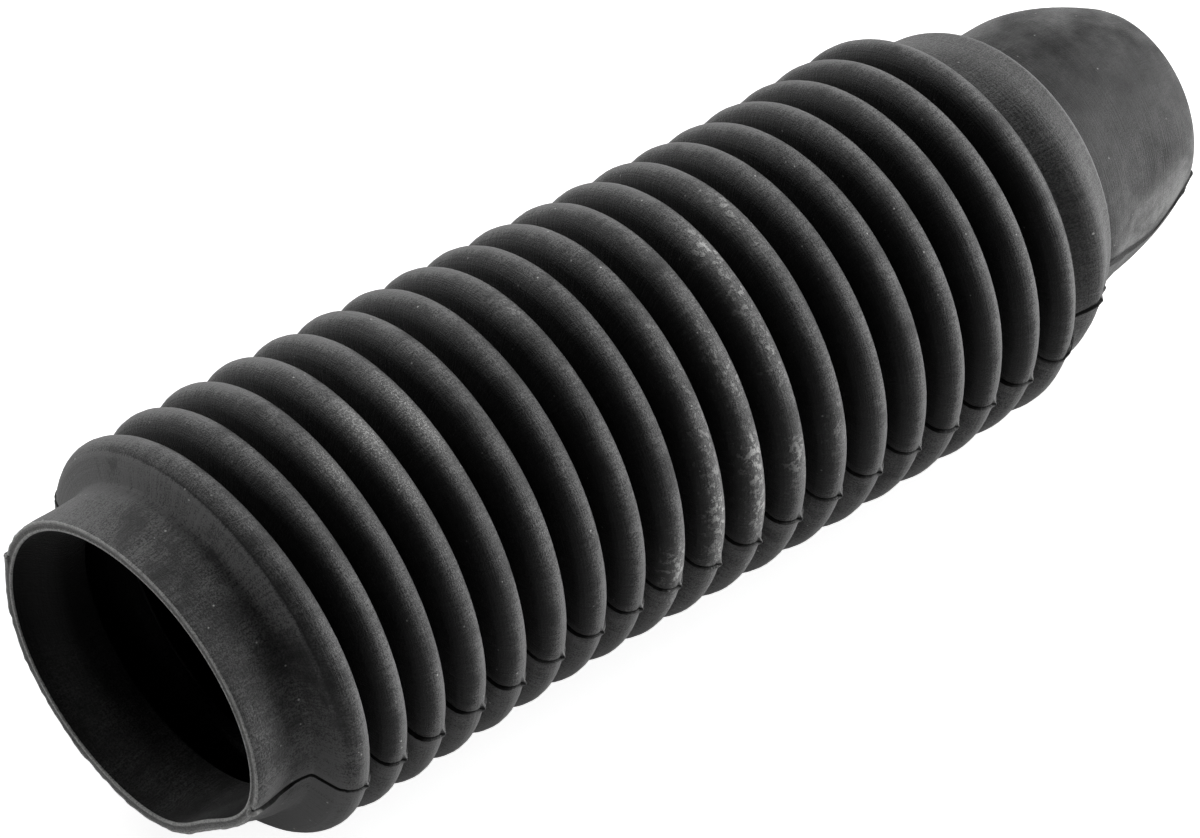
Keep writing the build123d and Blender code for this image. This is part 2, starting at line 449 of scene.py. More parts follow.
# %% Powder and scuffs
POWDER = [(3.0, 111, 9, 0.55), (4.0, 107, 11, 1.0), (4.0, 121, 10, 0.6), (5.0, 110, 14, 0.8)]
SCUFFS = [
    (8.97, 187, 10, 1.1), (10.0, 174, 14, 1.0), (10.0, 189, 8, 1.0), (11.0, 166, 11, 1.0),
    (11.0, 182, 9, 1.1), (12.0, 107, 8, 0.85), (12.0, 124, 16, 0.55), (12.0, 140, 12, 0.5),
    (13.0, 102, 14, 0.6), (12.0, 172, 10, 0.65), (13.0, 170, 8, 0.4), (10.0, 128, 14, 0.4),
    (11.0, 135, 18, 0.6), (10.0, 152, 14, 0.5), (8.0, 92, 10, 0.35), (8.0, 202, 7, 0.3),
    (9.0, 203, 8, 0.4), (10.0, 201, 7, 0.45), (11.0, 203, 8, 0.4), (12.0, 202, 8, 0.3),
]
powder_reach, scuff_reach, patch_lead = 1.9, 2.2, 0.4


def patches(table, half_width):
    """How much each vertex has of a table's patches."""
    total = np.zeros(len(station))
    for fold, centre, reach, strength in table:
        along = (station - (fold - 1) * crest_pitch - patch_lead) / half_width
        around = ((angle - centre + 180) % 360 - 180) / reach
        total = np.maximum(total, strength * np.exp(-(along**2) - around**2))
    return np.where(outside & (fold_height > 0.5), total, 0)


powdered, scuffed = patches(POWDER, powder_reach), patches(SCUFFS, scuff_reach)
cloud_around, cloud_along = (angle % 360 - 188) / 12, (station - band_end - 25) / 12
cloud = np.exp(-(cloud_around**2) - cloud_along**2) * (station > band_end + 0.5)
print("powdered:", int((powdered > 0.1).sum()), "scuffed:", int((scuffed > 0.1).sum()))

# %% [markdown]
# ## Dust on the folds
# Dust settles on the crowns and never in the grooves, a little to one side of the crest. There is
# more of it on top and beside the parting line, and below that line the whole fold is lighter. The
# painted sheen number says how much paler the dust is painted at a slant, most near the top and by
# the parting line.

# %% Dust and painted sheen on the folds
folds_start, folds_end = -2.2, last_crest + 3.0
DUST_ACROSS = [
    # place across a fold, in spacings from its crest, and how much dust
    (-0.28, 0.08), (-0.14, 0.40), (0.02, 1.12), (0.12, 1.08), (0.24, 0.48), (0.36, 0.06),
]
cuff_painted_sheen, band_painted_sheen, inner_painted_sheen = 1.6, 0.8, 1.0

slide = round_the_boot((60, 0.02), (85, 0.06), (105, 0.06), (125, 0.04), (150, -0.02), (190, -0.01))
slide -= 0.05 * ease((station - 120) / 40)
settling = round_the_boot((50, 1.35), (100, 1.18), (130, 0.86), (160, 0.88), (185, 1.25), (250, 1.25))
crown = np.interp(from_crest + slide, *zip(*DUST_ACROSS)) * settling
# Below the parting line the whole fold is lighter.
below_seam = ease((seam - 0.2) / 0.5) * (0.95 + 0.7 * ease((from_crest + 0.15) / 0.3))
first_flank = np.interp(station, [folds_start, -0.6, 0.0], [0.95, 0.95, 0.0]) * settling
crown = np.maximum(np.maximum(crown, below_seam), first_flank)

# Painted sheen: how much paler the dust is painted at a slant, by the angle round the boot.
painted_sheen = round_the_boot((65, 3.4), (80, 2.2), (95, 1.0), (140, 1.0), (165, 2.4), (180, 4.2))
painted_sheen = np.where((station > neck_station) & (station < folds_end), painted_sheen, cuff_painted_sheen)
painted_sheen = np.where((station > folds_end) & (station < band_end), band_painted_sheen, painted_sheen)
keep_number("painted_sheen", np.where(outside, painted_sheen, inner_painted_sheen))
print("dust on the folds:", round(float(crown[outside].mean()), 2), "on average")

# %% [markdown]
# ## Dust on the cuffs and the band
# The band behind the last fold is dusty all over, with a painted highlight along its rounded edge.
# The big cuff has more dust at its neck than at its rim. A fine double line runs round the first
# fold's shoulder, with painted shade in its two grooves and a painted highlight on the ridge
# between them.

# %% Dust on the cuffs, the band and the ring line
band_foot = band_end + 0.3
first_ring, second_ring, ridge_between, ring_width = -2.45, -3.5, -2.98, 0.26
lip_strip_lightening, cloud_dust, hollow_bottom_lightening = 1.8, 0.5, 0.35

on_folds = (station > folds_start) & (station < folds_end)
on_band = (station >= folds_end) & (station < band_foot)
# Dust all over the band, with a painted highlight along its rounded edge.
band_dust_and_edge_highlight = 1.02 + 2.2 * bell(station - band_end + 0.25, 0.45)
small_dust = round_the_boot((55, 0.62), (80, 0.44), (105, 0.34), (130, 0.32), (160, 0.48), (185, 0.52))
cuff_settling = round_the_boot((60, 1.5), (100, 1.65), (125, 1.25), (150, 0.7), (185, 1.45))
big_dust = (1.25 - 0.5 * ease((neck_station - station) / 5.0)) * cuff_settling
places_of_dust = [station <= folds_start, on_folds, on_band]
dust_and_painted_light = np.select(places_of_dust, [big_dust, crown, band_dust_and_edge_highlight], small_dust)

on_shoulder = (fold_height > 0.7) * (station < 0)
ring_fade = round_the_boot((60, 0.6), (90, 1.0), (140, 0.9), (175, 0.25))
# Painted shade in the ring line's two grooves, and a painted highlight on the ridge between them.
ring_groove_shade = bell(station - first_ring, ring_width) + 0.5 * bell(station - second_ring, 0.24)
ring_groove_shade *= ring_fade * on_shoulder
ring_ridge_highlight = ring_fade * bell(station - ridge_between, ring_width) * on_shoulder
dust_and_painted_light = dust_and_painted_light * (1 - 0.95 * ring_groove_shade + 0.9 * ring_ridge_highlight)

# The strip below the parting line is lighter towards the big cuff's rim.
on_the_lip = (seam > 0.1) & (seam < lip_edge) & (station < neck_station)
dust_and_painted_light = dust_and_painted_light + lip_strip_lightening * on_the_lip * near_side * to_the_rim
dust_and_painted_light = dust_and_painted_light + cloud_dust * cloud
# The inside is lighter towards its bottom.
inner_bottom_lightening = hollow_bottom_lightening * ease((-np.sin(np.radians(angle)) - 0.2) / 0.8)
# The dust number also carries the band's painted highlight and the ring line's painted shade and
# highlight.
keep_number("dust_and_painted_light", np.where(outside, dust_and_painted_light, inner_bottom_lightening))
keep_number("inner", ~outside)
print("dust:", round(float(dust_and_painted_light[outside].min()), 2), "to", round(float(dust_and_painted_light[outside].max()), 2))

# %% [markdown]
# ## Calm rubber and the trimmed lip
# The calm number takes fine grain away from the band and the small cuff. The even number takes
# mottle away from the band and gives some more to the small cuff. The lip number marks the
# mouth's pale lip: painted highlights along its two edges, the cut face between, and the torn
# flash at the parting line.

# %% Calm, even, worn and trimmed
keep_number("calm", np.where(on_band, 0.6, station > band_end))
keep_number("even", np.where(on_band, 0.7, -0.4 * (station > band_end)))
keep_number("powder", powdered + cloud_dust * cloud)
keep_number("scuff", scuffed)
from_rim = station - mouth_station
# Painted highlights along the rim's outer and inner edges.
outer_edge_highlight = 2.0 * (radius > neck_radius - 0.5) * (from_rim < 0.22)
inner_edge_highlight = 2.3 * (np.abs(radius - seat_radius - 0.1) < 0.35) * (from_rim < 0.3)
cut_face = 0.75 * (from_rim < lip_trench + 0.05)
flash = 2.6 * bell(seam - 0.5, 1.0) * near_side * (from_rim < 1.2)
lip = np.maximum(np.maximum(outer_edge_highlight, inner_edge_highlight), np.maximum(cut_face, flash))
keep_number("lip", lip * (radius > seat_radius - 0.3))
print("pale lip:", int((lip > 0.1).sum()), "vertices")

# %% [markdown]
# ## The step at the parting line, and its nubs
# The strip just above the parting plane sinks into a crack, and the strip below it stands up by
# a height that wanders. Each fold and the band carry a small round nub. The far one on the first
# fold is the largest.

# %% Raise the parting line
rng = np.random.default_rng(19)
SMOOTHING = 9
STEP_SHAPE = [(0, 0.3), (step_crest, 1.0), (step_foot, 0.85)]
lowest_step, highest_step, rim_step, crack_half_width = 0.14, 0.6, 0.35, 0.19
plain_step_edge, nub_middle = 2.3, 0.15
large_nub_rise, large_nub_spread = 1.7, 1.5


def wander(count, spread):
    """Smoothed random numbers for stepping along the boot."""
    rough = rng.normal(0.0, 1.0, count + SMOOTHING - 1)
    window = np.hanning(SMOOTHING)
    return spread * np.convolve(rough, window / window.sum(), "valid")


def read_normals():
    """The outward direction at every vertex."""
    normals = np.empty(len(boot.data.vertices) * 3)
    boot.data.vertex_normals.foreach_get("vector", normals)
    return normals.reshape(-1, 3)


def step_lift(steps, height):
    """How far the step stands up and the crack sinks in."""
    far_edge = np.where(station < neck_station, lip_edge, plain_step_edge)
    rise = np.interp(station, steps, height) + rim_step * to_the_rim * (station < neck_station)
    lower = rise * np.interp(seam, *zip(*STEP_SHAPE))
    lower *= np.clip((far_edge - seam) / (far_edge - step_foot), 0, 1)
    crack = -crack_depth * np.clip(1 - np.abs(seam - crack_middle) / crack_half_width, 0, 1)
    return np.where(seam >= -0.001, lower, crack)


def parting_lift():
    """How far each vertex moves out of the skin."""
    lift = np.zeros(len(station))
    steps = np.linspace(mouth_station - 1, small_end + 1, 500)
    for one_side in (True, False):
        height = step_height * (1 + 4 * wander(len(steps), 0.22))
        strip = step_lift(steps, np.clip(height, lowest_step, highest_step))
        here = (near_side == one_side) & outside & (seam > crack_top)
        lift = np.where(here, strip, lift)
        for nub in NUB_STATIONS:
            size = nub_spread * rng.uniform(0.85, 1.2)
            tall = nub_rise * rng.uniform(0.75, 1.15)
            lean = rng.uniform(-0.25, 0.25)
            along = station - nub - lean * seam
            near = (near_side == one_side) & outside & (np.abs(along) < 2) & (np.abs(seam) < 2)
            reach = np.hypot(along * 1.3, (seam - nub_middle) * 0.9) / size
            if nub < NUB_STATIONS[1] and not one_side:
                tall, reach = large_nub_rise * nub_rise, reach / large_nub_spread
            blob = tall * np.sqrt(np.clip(1 - reach**2, 0, 1))
            lift = np.where(near, np.maximum(lift, blob), lift)
    return lift


lift = parting_lift()
by_the_seam = (np.abs(seam) < 1.4) * (station > neck_station)
keep_number("nub", ease((lift - 0.40) / 0.3) * by_the_seam)
places = straight + read_normals() * lift[:, None]
print("the parting line stands up to", round(float(lift.max()), 2), "mm proud")

# %% [markdown]
# ## A hand-trimmed lip and a slightly uneven skin
# Fixed noise moves the lip in and out by a tenth of a millimetre, and more at the parting line,
# which reads as a trimmed edge. Much longer waves move the folds, because rubber is never true.

# %% Roughen the lip and wave the skin
fine_spacing, coarse_spacing, wave_spacing, wave_stretch = 1.1, 3.4, 9.0, 0.45


def noise_at(places, spacing, shift):
    """Smooth noise from about -1 to 1, with a spacing in millimetres."""
    return np.array([noise.noise(Vector(p) / spacing + Vector((shift, 0, 0))) for p in places])


before = places.copy()
edge = (station < mouth_station + 0.75) & (radius > neck_radius - 1.0)
ragged = noise_at(straight[edge], fine_spacing, 3.7) * 0.16
ragged += noise_at(straight[edge], coarse_spacing, 9.1) * 0.14
ragged *= 1 + 5 * near_side[edge] * bell(seam[edge] - 0.5, 1.1)
places[edge] += read_normals()[edge] * ragged[:, None]
stretched = straight * np.array([1.0, wave_stretch, wave_stretch])
waves = noise_at(stretched, wave_spacing, 1.3) * skin_wave * outside
places = places + read_normals() * waves[:, None]
print("the skin moved by up to", round(float(np.abs(places - before).max()), 2), "mm")

# %% [markdown]
# ## The mouth that is not round
# The big cuff is a flattened oval with one dented flank, as soft rubber takes the shape that it
# was stored in. Each point moves away from the axis by what its angle asks, more and more towards
# the rim.

# %% Pull the big cuff out of round
def mouth_radius(turn, skin):
    """The rim's distance from the axis at an angle, on one of its skins."""
    oval = np.radians(turn - mouth_tilt)
    half_width, half_height = mouth_half_width + skin, mouth_half_height + skin
    reach = half_width * half_height / np.hypot(
        half_height * np.cos(oval), half_width * np.sin(oval)
    )
    from_dent = (turn - flat_angle + 180) % 360 - 180
    dent = flat_depth * np.exp(-((from_dent / flat_spread) ** 2))
    return reach - dent - mouth_drop * np.sin(np.radians(turn))


grow_out = ease((neck_start - station) / (neck_start - mouth_station))
grow_in = ease((seat_start - station) / (seat_start - mouth_station))
outer = grow_out * (mouth_radius(angle, 0) - neck_radius)
inner = grow_in * (mouth_radius(angle, -mouth_wall) - seat_radius)
face = (radius - seat_radius - 0.5) / (neck_radius - seat_radius - 1.0)
share = np.where(station < mouth_station + 1.0, np.clip(face, 0, 1), outside)
move = (inner + (outer - inner) * share) * (station < neck_start)
turn = np.radians(angle)
outwards = np.stack([np.zeros(len(move)), np.cos(turn), np.sin(turn)], 1)
places = places + outwards * move[:, None]
rim = places[station < mouth_station + 0.7]
print("mouth:", [round(float(v), 1) for v in rim.max(axis=0)[1:] - rim.min(axis=0)[1:]], "mm")

# %% [markdown]
# ## How the boot lies
# Rubber folds never lie in one straight row. The boot curves a little, and its folds lean a few
# degrees and go slightly oval. A smooth curve runs through the numbers of a few stations. Where
# they rest, the folds are flattened on the floor.

# %% Let the boot lie naturally
LIE = [
    # station, along, level, up, lean about level axis, lean about upright axis, growth, oval, slant
    (mouth_station, 0.1, -0.46, -0.31, 0.0, 0.0, 0.0, 0.0, 0.0),
    (0 * crest_pitch, 1.50, -0.62, 0.0, -2.80, 1.60, 0.10, 1.00, 0.50),
    (1 * crest_pitch, 1.58, -0.27, 0.0, -3.00, 0.60, 0.24, 0.45, 0.52),
    (2 * crest_pitch, 1.55, -0.03, 0.0, -3.10, -0.30, 0.22, 0.10, 0.58),
    (4 * crest_pitch, 1.85, 0.27, 0.0, -2.80, -1.60, 0.00, 0.05, 0.50),
    (6 * crest_pitch, 1.80, 0.48, 0.0, -1.75, -1.80, -0.36, 0.03, 0.39),
    (8 * crest_pitch, 1.10, 0.17, 0.0, -0.55, -1.98, -0.40, -0.22, 0.27),
    (10 * crest_pitch, 0.77, -0.38, 0.0, -0.25, -2.38, -0.41, -0.32, 0.32),
    (12 * crest_pitch, 0.77, -0.80, 0.0, -0.25, -2.18, -0.47, -0.24, 0.21),
    (14 * crest_pitch, 0.48, -0.95, 0.0, -0.18, -1.12, -0.43, -0.15, 0.06),
    (16 * crest_pitch, 0.10, -0.64, 0.0, 0.35, -0.42, -0.27, -0.17, -0.03),
    (18 * crest_pitch, 0.10, 0.30, 0.0, 0.38, 0.18, -0.15, 0.15, -0.25),
    (18 * crest_pitch + 3.0, 0.10, 0.30, 0.0, 0.38, 0.18, -0.15, 0.15, -0.25),
    (band_end - 7.3, 0.50, -0.44, 0.82, 0.48, 1.08, 0.81, 0.95, -1.57),
    (band_end - 1.0, 0.51, 0.77, 1.11, 1.69, 0.95, 0.08, 0.31, -1.99),
    (band_end + 6.0, 0.79, 0.20, 1.04, 0.72, 0.48, 0.61, -0.02, -0.51),
    (small_straight_end, -0.33, 1.26, 1.34, 0.14, 0.30, 0.42, -0.82, 0.14),
    (small_end, -0.16, 0.82, 1.05, 0.02, -0.21, -0.30, -0.88, -0.23),
]


def flowing(column, at):
    """A smooth curve through one column of the table."""
    stations = np.array([row[0] for row in LIE])
    values = np.array([row[column] for row in LIE])
    slopes = np.gradient(values, stations)
    k = np.clip(np.searchsorted(stations, at) - 1, 0, len(LIE) - 2)
    gap = stations[k + 1] - stations[k]
    t = np.clip((at - stations[k]) / gap, 0, 1)
    start = (2 * t**3 - 3 * t**2 + 1) * values[k] + (t**3 - 2 * t**2 + t) * gap * slopes[k]
    return start + (3 * t**2 - 2 * t**3) * values[k + 1] + (t**3 - t**2) * gap * slopes[k + 1]


def lay_down(places):
    """Squeezes each section a little oval, leans it and moves its centre."""
    turn = np.radians(angle)
    swell = flowing(6, station) + flowing(7, station) * np.cos(2 * turn)
    swell += flowing(8, station) * np.sin(2 * turn)
    along = places[:, 0] - station
    level, upright = places[:, 1] + swell * np.cos(turn), places[:, 2] + swell * np.sin(turn)
    about_y, about_z = np.radians(flowing(4, station)), np.radians(flowing(5, station))
    x = along * np.cos(about_z) - level * np.sin(about_z)
    y = along * np.sin(about_z) + level * np.cos(about_z)
    z = upright * np.cos(about_y) - x * np.sin(about_y)
    x = x * np.cos(about_y) + upright * np.sin(about_y)
    shift = [flowing(column, station) for column in (1, 2, 3)]
    return np.stack([station + x + shift[0], y + shift[1], z + shift[2]], 1)


places = lay_down(places)
places[:, 2] = np.maximum(places[:, 2], -axis_height)
moved = (places + np.array([first_crest_x, 0.0, axis_height])) * MM
boot.data.vertices.foreach_set("co", moved.ravel())
boot.data.update()
bpy.ops.object.select_all(action="DESELECT")
boot.select_set(True)
bpy.context.view_layer.objects.active = boot
bpy.ops.object.shade_smooth_by_angle(angle=radians(48))
print("the boot spans", [round(v, 1) for v in (moved.max(axis=0) - moved.min(axis=0)) / MM], "mm")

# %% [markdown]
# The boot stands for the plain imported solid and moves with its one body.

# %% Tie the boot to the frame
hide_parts("bellows_boot")
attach(boot, "root")
triangles = sum(len(face.vertices) - 2 for face in boot.data.polygons)
print("triangles:", triangles)

# %% [markdown]
# ## Helpers for shader nodes
# A material is a small machine of nodes. These helpers place a node and plug or set its sockets,
# do one step of arithmetic, make a mask, or read a number from the mesh.

# %% Node helpers
def fill(tree, socket, value):
    """Plugs a socket into another one, or sets its value."""
    if isinstance(value, bpy.types.NodeSocket):
        tree.links.new(value, socket)
    else:
        socket.default_value = value


def place(tree, kind, label, settings=None, **sockets):
    """Adds a node with a label, its settings and its sockets."""
    node = tree.nodes.new("ShaderNode" + kind)
    node.label = label
    for name, value in (settings or {}).items():
        setattr(node, name, value)
    for name, value in sockets.items():
        fill(tree, node.inputs[name.replace("_", " ")], value)
    return node


def maths(tree, operation, *values, clamp=False):
    """One step of arithmetic."""
    node = tree.nodes.new("ShaderNodeMath")
    node.operation, node.use_clamp = operation, clamp
    for socket, value in zip(node.inputs, values):
        fill(tree, socket, value)
    return node.outputs[0]


def times(tree, first, second, clamp=False):
    """First times second."""
    return maths(tree, "MULTIPLY", first, second, clamp=clamp)


def scaled(tree, value, gain, shift, clamp=False):
    """A value times a gain, and a shift added."""
    return maths(tree, "MULTIPLY_ADD", value, gain, shift, clamp=clamp)


def between(tree, value, low_edge, high_edge):
    """A smooth mask that goes from 0 at one edge to 1 at the other."""
    node = place(tree, "MapRange", "mask", {"interpolation_type": "SMOOTHSTEP"})
    for name, number in (("Value", value), ("From Min", low_edge), ("From Max", high_edge)):
        fill(tree, node.inputs[name], number)
    return node.outputs["Result"]


def number(tree, name):
    """Reads one of the mesh's numbers."""
    return place(tree, "Attribute", name, {"attribute_name": name}).outputs["Fac"]


# %% [markdown]
# ## Grain as a node group
# A fine speckle is in the rubber itself. Short streaks run across the folds, where the boot was
# pulled off its core. Faint rings run round it, from the tool that turned the mould. A cloudy
# mottle says where dust could hold. One group makes all four from the straight form.

# %% The grain group
SPECKLE_SIZE = 0.30
streak_stretch, streak_scale = 0.16, 2.1
ring_scale, ring_wobble = 2.6, 2.5
mottle_scale = 0.16


def noise_node(tree, label, where, scale, detail, roughness=0.5):
    """A noise texture's output."""
    sockets = {"Vector": where, "Scale": scale, "Detail": detail, "Roughness": roughness}
    return place(tree, "TexNoise", label, **sockets).outputs["Fac"]


def vector_maths(tree, label, operation, *values):
    """One step of arithmetic with vectors."""
    node = place(tree, "VectorMath", label, {"operation": operation})
    for socket, value in zip(node.inputs, values):
        fill(tree, socket, value)
    return node


grain = tree = bpy.data.node_groups.new("rubber_grain", "ShaderNodeTree")
new_socket = tree.interface.new_socket
new_socket("Form", in_out="INPUT", socket_type="NodeSocketVector")
size = new_socket("Size", in_out="INPUT", socket_type="NodeSocketFloat")
size.default_value = SPECKLE_SIZE
for name in ("Speckle", "Streaks", "Rings", "Mottle"):
    new_socket(name, in_out="OUTPUT", socket_type="NodeSocketFloat")
start = tree.nodes.new("NodeGroupInput")
end = tree.nodes.new("NodeGroupOutput")
form = start.outputs["Form"]
x, y, z = place(tree, "SeparateXYZ", "form", Vector=form).outputs
section = place(tree, "CombineXYZ", "section", Y=y, Z=z).outputs[0]
around = vector_maths(tree, "around", "NORMALIZE", section).outputs[0]
reach = vector_maths(tree, "radius", "LENGTH", section).outputs["Value"]

spread = vector_maths(tree, "spread", "SCALE", around)
fill(tree, spread.inputs["Scale"], crest_radius)
lengthwise = times(tree, x, streak_stretch)
lengthwise = place(tree, "CombineXYZ", "lengthwise", X=lengthwise).outputs[0]
streak_place = vector_maths(tree, "streak place", "ADD", spread.outputs[0], lengthwise)
along, out = times(tree, x, ring_scale), times(tree, reach, ring_scale)
wobble = place(tree, "SeparateXYZ", "wobble", Vector=around).outputs["Z"]
slow = times(tree, wobble, ring_wobble)
ring_place = place(tree, "CombineXYZ", "ring place", X=along, Y=out, Z=slow)

fine = maths(tree, "DIVIDE", 1.0, start.outputs["Size"])
grains = {
    "Speckle": noise_node(tree, "speckle", form, fine, 3.0, 0.7),
    "Streaks": noise_node(tree, "streaks", streak_place.outputs[0], streak_scale, 2.0),
    "Rings": noise_node(tree, "rings", ring_place.outputs[0], 1.0, 2.0),
    "Mottle": noise_node(tree, "mottle", form, mottle_scale, 4.0, 0.62),
}
for name, source in grains.items():
    tree.links.new(source, end.inputs[name])
print("grain group:", [socket.name for socket in grain.interface.items_tree])

# %% [markdown]
# ## Colours over colours
# Carbon black makes the rubber nearly black, and the inside is painted darker still as painted shade.
# Dust, powder and scuffs lighten it, a painted sheen and painted highlights on the lip's edges lighten
# it more, and painted shade makes the crack at the parting line the darkest place of all. Each is a
# mask between 0 and 1 that mixes one more colour into the last.

# %% Colours and mixing
BLACK_RUBBER = (0.014, 0.014, 0.0145, 1)
# Painted shade: the inside is darker than the same rubber outside.
INNER_SHADE_BLACK = (0.007, 0.007, 0.007, 1)
# Dust's grey, also painted on at a slant as a painted sheen.
DUST_AND_SHEEN_GREY = (0.200, 0.200, 0.200, 1)
# Pale powder and specks, and the painted highlights on the lip's edges.
PALE_POWDER_AND_HIGHLIGHT = (0.60, 0.60, 0.59, 1)
SCUFFED_RUBBER = (0.74, 0.74, 0.73, 1)
# Painted shade in the crack at the parting line.
CRACK_SHADE_BLACK = (0.003, 0.003, 0.003, 1)


def layer_colour(tree, label, mask, below, colour):
    """Mixes a colour over what lies below, by a mask."""
    mix = place(tree, "Mix", label, {"data_type": "RGBA"})
    fill(tree, mix.inputs[0], mask)
    fill(tree, mix.inputs[6], below)
    fill(tree, mix.inputs[7], colour)
    return mix.outputs[2]


def towards(tree, share, value, target):
    """Moves a value towards a target by a share of the way."""
    return scaled(tree, share, maths(tree, "SUBTRACT", target, value), value)


# %% [markdown]
# ## The rubber begins with its dust and a painted sheen
# Settled dust has bare spots from the mottle, grain from the speckle and short lines from the
# streaks. Calm and even move them to their middles. A painted sheen goes on the dust: Layer Weight
# paints the dust paler where the rubber is seen at a slant, as strong as the painted sheen number
# says.

# %% Dust and painted sheen as a mask
GRAIN_SHARE, STREAK_SHARE, MIDDLE_GRAIN, MOST_CALM = 0.90, 0.35, 0.62, 0.6
MOTTLE_GAIN, MOTTLE_SHIFT, MIDDLE_MOTTLE = 2.2, -0.6, 0.55
GRAINED_DUST, PLAIN_DUST = 1.15, 0.14

rubber = bpy.data.materials.new("moulded_rubber")
rubber.use_nodes = True
tree = rubber.node_tree
shader = tree.nodes["Principled BSDF"]
form = place(tree, "Attribute", "form", {"attribute_name": "form"}).outputs["Vector"]
settings = {"node_tree": grain}
grains = place(tree, "Group", "grain", settings, Form=form, Size=SPECKLE_SIZE).outputs
speckle, streaks, rings, mottle = grains
dusty_and_painted_light, hollow = number(tree, "dust_and_painted_light"), number(tree, "inner")
calm = times(tree, number(tree, "calm"), MOST_CALM)
uneven = scaled(tree, mottle, MOTTLE_GAIN, MOTTLE_SHIFT, clamp=True)
uneven = towards(tree, number(tree, "even"), uneven, MIDDLE_MOTTLE)
fine, lines = between(tree, speckle, 0.42, 0.60), between(tree, streaks, 0.40, 0.64)
texture = scaled(tree, lines, STREAK_SHARE, times(tree, fine, GRAIN_SHARE))
texture = towards(tree, calm, texture, MIDDLE_GRAIN)
settled = times(tree, times(tree, dusty_and_painted_light, uneven), texture)
dust_and_painted_sheen = scaled(tree, settled, GRAINED_DUST, times(tree, dusty_and_painted_light, PLAIN_DUST))
# Painted sheen: Layer Weight paints the dust paler where the rubber is seen at a slant.
slant = place(tree, "LayerWeight", "slant", Blend=0.5).outputs["Facing"]
painted_sheen_gain = scaled(tree, between(tree, slant, 0.30, 0.95), number(tree, "painted_sheen"), 1.0)
dust_and_painted_sheen = times(tree, dust_and_painted_sheen, painted_sheen_gain, clamp=True)
print("the dust takes", len(tree.nodes), "nodes")

# %% [markdown]
# ## Powder, scuffs and specks
# Powder is grainy, and smooth where the rubber is calm. A rough noise with a sharp edge tears the
# scuffs, and chips the surface too. Specks are small dots in a few cells of a cell texture.

# %% Wear as masks
TORN_SCALE, TORN_START, TORN_END = 0.75, 0.575, 0.64
SPECK_SCALE, SPECK_EDGE, SPECK_CORE = 0.40, 0.095, 0.05

grainy = towards(tree, calm, between(tree, speckle, 0.50, 0.66), uneven)
powder = times(tree, number(tree, "powder"), scaled(tree, grainy, 0.85, 0.20), clamp=True)
patchy = noise_node(tree, "patchy", form, TORN_SCALE, 5.0, 0.68)
scuff = number(tree, "scuff")
torn = between(tree, scaled(tree, scuff, 0.10, patchy), TORN_START, TORN_END)
scuffs = times(tree, scuff, scaled(tree, torn, 0.70, 0.16), clamp=True)
cells = place(tree, "TexVoronoi", "specks", Vector=form, Scale=SPECK_SCALE).outputs
tiny = between(tree, cells["Distance"], SPECK_EDGE, SPECK_CORE)
pick = place(tree, "SeparateColor", "pick", Color=cells["Color"]).outputs[0]
some = between(tree, pick, 0.62, 0.70)
strength = scaled(tree, dusty_and_painted_light, 0.8, 0.22)
strength = times(tree, strength, maths(tree, "SUBTRACT", 1.0, hollow))
specks = times(tree, times(tree, tiny, some), strength, clamp=True)
print("with its wear:", len(tree.nodes), "nodes")

# %% [markdown]
# ## The rubber's colour
# The trimmed lip with its painted edge highlights, the crack's painted shade and the nubs get masks
# as well. Then all the colours go on, one over the other.

# %% Layers of colour
CRACK_EDGE, CRACK_CORE, CRACK_SHADE_STRENGTH, NUB_STRENGTH = 0.27, 0.12, 0.9, 0.6

# The lip's pale colour: painted highlights along its two edges, a pale cut face and torn flash.
lip_and_edge_highlights = times(tree, number(tree, "lip"), scaled(tree, fine, 0.45, 0.25), clamp=True)
# Painted shade in the crack at the parting line, darker than the rubber.
from_crack = maths(tree, "ABSOLUTE", number(tree, "seam"))
crack = times(tree, between(tree, from_crack, CRACK_EDGE, CRACK_CORE), CRACK_SHADE_STRENGTH)
nub = times(tree, number(tree, "nub"), NUB_STRENGTH)
# The inside and crack layers are painted shade, the dust layer carries the painted sheen and the
# trimmed lip layer painted highlights.
layers = [
    ("inside", hollow, INNER_SHADE_BLACK), ("dust_and_painted_light", dust_and_painted_sheen, DUST_AND_SHEEN_GREY),
    ("powder", powder, PALE_POWDER_AND_HIGHLIGHT), ("scuffs", scuffs, SCUFFED_RUBBER),
    ("specks", specks, PALE_POWDER_AND_HIGHLIGHT), ("trimmed lip and edge highlights", lip_and_edge_highlights, PALE_POWDER_AND_HIGHLIGHT),
    ("crack", crack, CRACK_SHADE_BLACK), ("nubs", nub, BLACK_RUBBER),
]
colour = BLACK_RUBBER
for label, mask, paint in layers:
    colour = layer_colour(tree, label, mask, colour, paint)
fill(tree, shader.inputs["Base Color"], colour)
print("layers of colour:", len(layers))

# %% [markdown]
# ## Gloss and relief
# Dust and wear make the rubber duller, and so does the unpolished inside. The shader's own sheen
# adds what loose dust scatters. One bump carries speckle, streaks, rings and chips.

# %% Roughness, sheen and bump
PLAIN_ROUGHNESS, MOTTLE_ROUGHNESS, DUST_ROUGHNESS = 0.45, 0.10, 0.16
INNER_ROUGHNESS, WORN_ROUGHNESS, GRAIN_DEPTH = 0.35, 0.25, 0.00020

